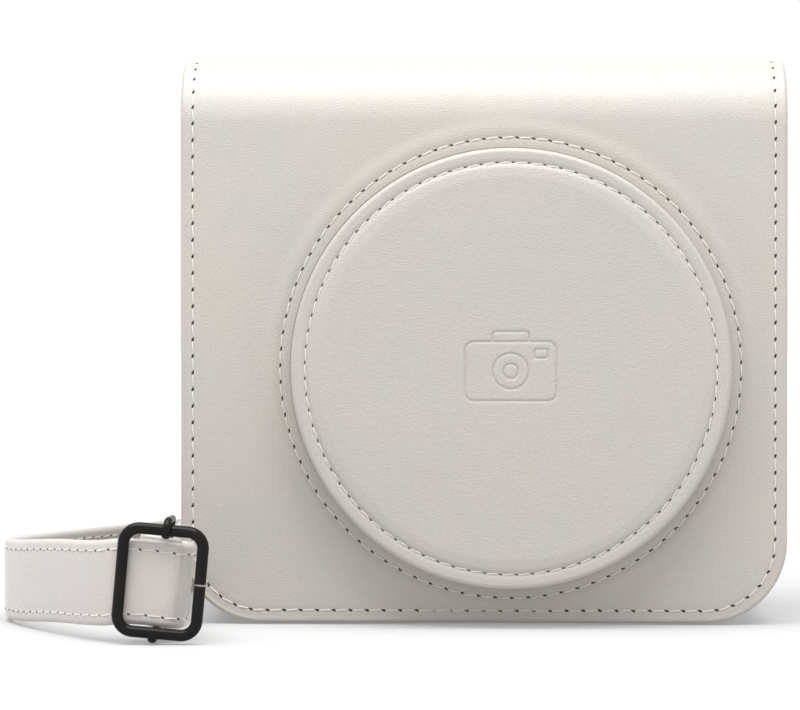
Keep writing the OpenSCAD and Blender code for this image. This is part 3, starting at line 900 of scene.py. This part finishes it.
def round_row(stitches, radius, y, count, phase, lift, **sizes):
    def at(t):
        a = 2 * math.pi * (t + phase) / count
        x, z = radius * math.cos(a), radius * math.sin(a)
        point = Vector((DOME_X + x, y - lift(x, z), DOME_Z + z))
        return point, Vector((0, -1, 0)), Vector((-math.sin(a), 0, math.cos(a)))

    stitches.row(at, count, True, **sizes)


def gusset_track(y, top):
    """Down one side of the gusset, and back up the other, near one of its edges."""
    points, normals = [], []
    turns = [(-1, a) for a in range(0, 91, 5)] + [(1, a) for a in range(90, -1, -5)]
    for side, a in turns:
        c, s = math.cos(math.radians(a)), math.sin(math.radians(a))
        normal = Vector((side * c, 0, -s))
        middle = Vector((side * (BODY_HALF - BODY_CORNER), y, BODY_CORNER))
        if a == 0 and side < 0:
            points.append(Vector((-BODY_HALF, y, top)))
            normals.append(normal)
        points.append(middle + normal * BODY_CORNER)
        normals.append(normal)
        if a == 0 and side > 0:
            points.append(Vector((BODY_HALF, y, top)))
            normals.append(normal)
    return Track(points, normals)


# how high the gusset's two rows of stitches reach, in front and at the back
FRONT_ROW_TOP = 113 * MM
BACK_ROW_TOP = 126 * MM


def make_gusset_stitches():
    seams = Stitches()
    for y, top in ((FRONT_Y + SEAM_INSET, FRONT_ROW_TOP), (BACK_Y - WALL - SEAM_INSET, BACK_ROW_TOP)):
        seams.follow(gusset_track(y, top))
    for piece in seams.pieces("gusset_stitches"):
        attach(piece, "case")


def make_case_stitches():
    front = Stitches()
    front.follow(sheet_track(0.0, FLAP_CORNER, flap_relief))
    for piece in front.pieces("flap_stitches"):
        bend_with_fold(piece)
        if "holes" not in piece.name:
            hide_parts("flap_seam", "top_seams")
    back = Stitches()
    back.follow(sheet_track(S_END, BODY_CORNER, back_relief))
    for piece in back.pieces("back_stitches"):
        bend_with_hinge(piece)
    dome = Stitches()
    round_row(dome, BASE_SEAM_R, FLAP_Y, 87, 0.35, lambda x, z: flap_relief(DOME_X + x, DOME_S + z))
    for piece in dome.pieces("dome_base_stitches"):
        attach(piece, "flap_front")
        if "holes" not in piece.name:
            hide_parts("dome_base_seam")
    cap = Stitches()
    round_row(
        cap, CAP_SEAM_R, CAP_Y, 81, 0.1, lambda x, z: cap_lift(x, z, CAP_SEAM_R, CAP_Y),
        hole=(0.44 * MM, 0.26 * MM),
    )
    for piece in cap.pieces("cap_stitches"):
        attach(piece, "flap_front")
        if "holes" not in piece.name:
            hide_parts("cap_seam")


# ---------------------------------------------------------------- straps

STRAP_W = 19 * MM
STRAP_T = 2.4 * MM
RING_X = 50 * MM
RING_Y = 34.86 * MM
RING_LOW = 93 * MM
LOOP_END = 84 * MM
FLOOR_Z = 9.7 * MM
HANK_Z = 10.5 * MM
ROLL_R = 8 * MM
ROLL_Y = 58 * MM
SLIDER = Vector((-71, -70, 13.65)) * MM
BAR_TILT = math.radians(8)
BAR_BACK = 7 * MM
UP = Vector((0, 0, 1))
LEANING = Vector((0.12, 0, 0.99))
FLAT_BACK = Vector((1, 0, 0))


def metres(points):
    return [Vector(p) * MM for p in points]


def hanging(x):
    """Down the back of the case from a ring."""
    points = metres([(0, 36.5, 72), (0, 39, 58), (0, 41.3, 44), (0, 42, 34)])
    points = [Vector((0, RING_Y, LOOP_END - 0.2 * MM))] + points
    return [(p + Vector((x, 0, 0)), FLAT_BACK) for p in points]


def roll(x):
    """Over a diagonal, from hanging down to standing on edge."""
    across = Vector((0, 1, 0))
    out = Vector((1, 0, -1)).normalized()
    along = Vector((1, 0, 1)).normalized()
    start = Vector((x - ROLL_R * math.pi / math.sqrt(2), ROLL_Y, FLOOR_Z))
    route = []
    for i in range(8, -1, -1):
        t = math.pi * i / 8
        normal = across * math.cos(t) + out * math.sin(t)
        heading = (out * math.cos(t) - across * math.sin(t) + along) / math.sqrt(2)
        point = start + (out * math.sin(t) + across * (math.cos(t) - 1) + along * t) * ROLL_R
        route.append((point, heading.cross(normal)))
    return route


def on_edge(points):
    return [(p, UP) for p in points]


def turn(x, y, z, r, start, stop, steps):
    """An arc lying flat, from and to the angles given, its first point left out."""
    angles = [math.radians(start + (stop - start) * i / steps) for i in range(1, steps + 1)]
    return [Vector((x + r * math.cos(a), y + r * math.sin(a), z)) for a in angles]


def short_route():
    swing = turn(-67.9 * MM, 48 * MM, FLOOR_Z, 10 * MM, 90, 180, 4)
    rest = metres([
        (-77.9, 30, 9.7), (-77.9, 8, 9.7), (-77.9, -12, 9.7), (-77.7, -24, 9.9), (-76.8, -34, 10.6),
        (-75.1, -43, 11.8), (-73.5, -50, 12.7), (-72.3, -55.5, 13.4), (-72, -60.2, 13.6),
    ])
    return hanging(-RING_X) + roll(-RING_X) + on_edge(swing + rest)


HANK_FOLD = 4 * MM


def long_route():
    back = metres([(20, 58, 10.5), (5, 58, 10.5), (-12, 58, 10.5), (-24, 58, 10.5)])
    back += turn(-24 * MM, 62 * MM, HANK_Z, HANK_FOLD, 270, 90, 6)
    hank = []
    for low in (66, 82):
        hank += metres([(x, low, 10.5) for x in (-10, 5, 20, 35, 50)])
        hank += turn(50 * MM, (low + 4) * MM, HANK_Z, HANK_FOLD, -90, 90, 6)
        hank += metres([(x, low + 8, 10.5) for x in (35, 20, 5, -10)])
        if low == 66:
            hank += metres([(-16, 74, 10.5)]) + turn(-16 * MM, 78 * MM, HANK_Z, HANK_FOLD, 270, 90, 6)
    front = metres([
        (-20, 90, 10.5), (-35, 89.5, 10.3), (-50, 86, 10), (-63, 79.5, 9.7), (-72.5, 69, 9.7),
        (-79.5, 55.5, 9.7), (-86, 42.5, 9.7), (-93, 29.5, 9.7), (-100, 16.5, 9.7), (-106.5, 4, 9.7),
        (-111, -5.5, 9.7), (-112.8, -12.5, 9.8), (-112, -20, 10), (-108, -29.5, 10.4), (-102.5, -39, 11.2),
        (-96, -49, 12), (-89, -59, 12.5), (-84.5, -64.4, 12.9),
    ])
    fold = metres([
        (-79.5, -67.1, 13.5), (-74, -67.2, 13.3), (-70.2, -67.2, 12.8), (-68.2, -66.9, 12.5),
        (-66.7, -65.6, 12.3), (-66.1, -63.4, 12.3), (-66.2, -60.6, 12.3),
    ])
    end = metres([
        (-67.1, -57, 12.2), (-68.9, -52.5, 12), (-70.7, -46.5, 11.4), (-72.3, -40, 10.8),
        (-73.8, -33.5, 10.3), (-74.8, -27, 10),
    ])
    folded = [(p, LEANING) for p in fold]
    return hanging(RING_X) + roll(RING_X) + on_edge(back + hank + front) + folded + on_edge(end)


def smooth_route(route, step=1.6 * MM):
    """Fine points on a smooth curve through the route, each with its heading, width and thickness."""
    fine = []
    n = len(route)
    for i in range(n - 1):
        p0, p1, p2, p3 = (route[min(max(j, 0), n - 1)] for j in (i - 1, i, i + 1, i + 2))
        count = max(1, round((p2[0] - p1[0]).length / step))
        for k in range(count):
            t = k / count
            point = catmull(p0[0], p1[0], p2[0], p3[0], t)
            hint = catmull(p0[1], p1[1], p2[1], p3[1], t).normalized()
            fine.append((point, hint))
    fine.append(route[-1])
    frames = []
    for i, (point, hint) in enumerate(fine):
        ahead = (fine[min(i + 1, len(fine) - 1)][0] - fine[max(i - 1, 0)][0]).normalized()
        wide = (hint - ahead * hint.dot(ahead)).normalized()
        frames.append((point, ahead, wide, ahead.cross(wide)))
    return frames


def catmull(a, b, c, d, t):
    """A curve through b and c whose slopes suit uneven spacing."""
    bc = (c - b).length
    slope_b = (c - a) * bc / max((b - a).length + bc, 1e-9)
    slope_c = (d - b) * bc / max((d - c).length + bc, 1e-9)
    t2, t3 = t * t, t * t * t
    from_b = b * (2 * t3 - 3 * t2 + 1) + slope_b * (t3 - 2 * t2 + t)
    return from_b + c * (3 * t2 - 2 * t3) + slope_c * (t3 - t2)


STRAP_SEAM = 2.3 * MM


def strip_section(w, t):
    """Half-rounded edges and slightly crowned faces, pinched along the two rows of stitches."""
    edge = t / 2
    top = []
    count = 14
    for i in range(count + 1):
        q = (w / 2 - edge) * (2 * i / count - 1)
        groove = 0.10 * MM * math.exp(-(((abs(q) - (w / 2 - STRAP_SEAM)) / (0.6 * MM)) ** 2))
        top.append((q, t / 2 - groove))
    round_edge = [
        (w / 2 - edge + edge * math.sin(a), (t / 2) * math.cos(a))
        for a in np.radians([30, 60, 90, 120, 150])
    ]
    half = top + round_edge
    return half + [(-q, -h) for q, h in half]


def sweep(frames, section, closed=False):
    """A strip along a route. Its flat coordinates are across, along and which face."""
    verts, flat, faces = [], [], []
    far = 0.0
    for i, (point, _, wide, thick) in enumerate(frames):
        far += (point - frames[i - 1][0]).length if i else 0.0
        for q, h in section:
            wave = bilinear_noise(far, q, 26 * MM, 0.10 * MM, 5.5) if abs(h) > 0.8 * MM else 0.0
            verts.append(point + wide * q + thick * (h + wave))
            flat.append((q, far, h * 4))
    n = len(section)
    for i in range(len(frames) if closed else len(frames) - 1):
        for k in range(n):
            a, b = i * n + k, i * n + (k + 1) % n
            c, d = (b + n) % len(verts), (a + n) % len(verts)
            faces.append([a, b, c, d])
    if not closed:
        faces.append(list(reversed(range(n))))
        faces.append([len(verts) - n + k for k in range(n)])
    return verts, faces, flat


def strap_stitches(name, frames):
    """Two rows on each face of a strap."""
    stitches = Stitches()
    out, up = STRAP_W / 2 - STRAP_SEAM, STRAP_T / 2 - 0.09 * MM
    for face in (1, -1):
        for side in (1, -1):
            points = [p + w * side * out + t * face * up for p, _, w, t in frames[2:-2]]
            track = Track(points, [t * face for _, _, _, t in frames[2:-2]], 3.8 * MM)
            stitches.follow(track, hole=(0.36 * MM, 0.20 * MM))
    return stitches.pieces(name)


def loop_frames(points, axis):
    """Frames for a thin strip that stays square to an axis as it goes round a wire."""
    return smooth_route([(p, axis) for p in points], 0.5 * MM)


def ring_loop(name, x):
    """The strap's two layers part and go round the ring's lower wire."""
    r = 2.2 * MM
    points = [(-0.62, -9.3), (-0.9, -7.6), (-1.7, -5.2), (-2.2, -2.6)]
    half = [Vector((x, RING_Y + y * MM, RING_LOW + z * MM)) for y, z in points]
    over = [
        Vector((x, RING_Y - r * math.cos(math.radians(a)), RING_LOW + r * math.sin(math.radians(a))))
        for a in range(0, 181, 20)
    ]
    down = [Vector((x, 2 * RING_Y - p.y, p.z)) for p in reversed(half)]
    return new_strip(name, loop_frames(half + over + down, FLAT_BACK), 1.2 * MM)


def bar_loop(name):
    """The strap's two layers go round the slider's bar, which can shift between them."""
    r = 1.8 * MM
    left, right = -4 * MM, 0.6 * MM
    middle = Vector((0, BAR_BACK, 0))
    layers = [Vector(p) * MM + middle for p in ((-1.6, 2.9, 0), (-1.9, 2.3, 0), (-2.9, 1.85, 0))]
    layers += turn(left, BAR_BACK, 0, r, 90, 270, 8)
    layers += turn(right, BAR_BACK, 0, r, -90, 90, 8)
    layers += [Vector(p) * MM + middle for p in ((0.1, 1.95, 0), (-0.3, 2.4, 0), (-0.4, 2.9, 0))]
    c, s = math.cos(BAR_TILT), math.sin(BAR_TILT)
    placed = [SLIDER + Vector((p.x * c, p.y, -p.x * s)) for p in layers]
    return new_strip(name, loop_frames(placed, Vector((s, 0, c))), 1.2 * MM)


def new_strip(name, frames, thickness):
    verts, faces, flat = sweep(frames, strip_section(STRAP_W, thickness))
    return new_piece(name, verts, faces, M["strap"], "strap_leather", flat)


def tie_band():
    """A soft woven band round the folded runs."""
    x, w, t = 14 * MM, 8 * MM, 0.8 * MM
    y0, y1, z0, z1, r = 56.3 * MM, 91.7 * MM, 0.6 * MM, 20.4 * MM, 2.2 * MM
    corners = [(y1 - r, z0 + r, -90), (y1 - r, z1 - r, 0), (y0 + r, z1 - r, 90), (y0 + r, z0 + r, 180)]
    points = []
    for cy, cz, first in corners:
        for i in range(7):
            a = math.radians(first + 15 * i)
            points.append(Vector((x, cy + r * math.cos(a), cz + r * math.sin(a))))
    dense = []
    for i, p in enumerate(points):
        q = points[(i + 1) % len(points)]
        count = max(1, round((q - p).length / (1.2 * MM)))
        dense += [p.lerp(q, k / count) for k in range(count)]
    frames = []
    for i, p in enumerate(dense):
        ahead = (dense[(i + 1) % len(dense)] - dense[i - 1]).normalized()
        frames.append((p, ahead, FLAT_BACK, ahead.cross(FLAT_BACK)))
    section = [(q * w / 2, h * t / 2) for q, h in (
        (-1, -0.5), (-0.95, -1), (-0.5, -0.9), (0, -1), (0.5, -0.9), (0.95, -1), (1, -0.5),
        (1, 0.5), (0.95, 1), (0.5, 0.9), (0, 1), (-0.5, 0.9), (-0.95, 1), (-1, 0.5),
    )]
    verts, faces, flat = sweep(frames, section, closed=True)
    return new_piece("tie_band", verts, faces, M["tie"], "tie_cord", flat)


def hang_from_ring(piece):
    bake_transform(piece)


def make_strap(name, route):
    """One strap with its stitches."""
    frames = smooth_route(route)
    strap = new_strip(name, frames, STRAP_T)
    parts = [strap] + strap_stitches(name + "_stitches", frames)
    for part in parts:
        hang_from_ring(part)
    length = sum((b[0] - a[0]).length for a, b in zip(frames, frames[1:]))
    return strap, parts[1:], [f[0] for f in frames[::6]] + [frames[-1][0]], length


def make_straps():
    short, short_parts, short_path, short_length = make_strap(
        "short_strap_leather", short_route()
    )
    left_loop = ring_loop("short_strap_ring_loop", -RING_X)
    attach(left_loop, "ring_left")
    around_bar = bar_loop("short_strap_bar_loop")
    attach(around_bar, "case")
    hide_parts("short_strap")
    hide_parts("short_strap_loops")
    long, long_parts, long_path, long_length = make_strap(
        "long_strap_leather", long_route()
    )
    right_loop = ring_loop("long_strap_ring_loop", RING_X)
    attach(right_loop, "ring_right")
    tie = tie_band()
    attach(tie, "case")
    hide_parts("long_strap_back", "long_strap_hank", "long_strap_front")
    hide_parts("long_strap_loop")
    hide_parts("strap_tie")


make_camera()
make_straps()
make_lights()
make_floor()
make_covers()
make_dome()
make_case_stitches()
make_gusset_stitches()

PLAIN = {
    "board": M["board"], "lining": M["lining"], "foam": M["foam"], "magnet": M["magnet"],
    "gunmetal": M["gunmetal"], "thread": M["thread"], "case_leather": M["body"], "cap_leather": M["body"],
    "strap_leather": M["tab"], "tie_cord": M["tie"],
}


def round_edges(node):
    weld = node.modifiers.new("weld", "WELD")
    weld.merge_threshold = 0.01 * MM
    bevel = node.modifiers.new("edges", "BEVEL")
    bevel.width = 0.3 * MM
    bevel.segments = 2
    bevel.angle_limit = math.radians(50)
    bevel.harden_normals = True


def dress_frame():
    """Gives every carried-over node its material, and rounds the edges of the leather ones."""
    slots = {row["node"]: row["material_slot"] for row in frame["record"]["subparts"]}
    for name, node in nodes.items():
        node.data.materials.clear()
        node.data.materials.append(PLAIN[slots[name]])
        if slots[name] in ("case_leather", "strap_leather"):
            round_edges(node)


dress_frame()
bpy.context.scene.view_settings.view_transform = "Standard"
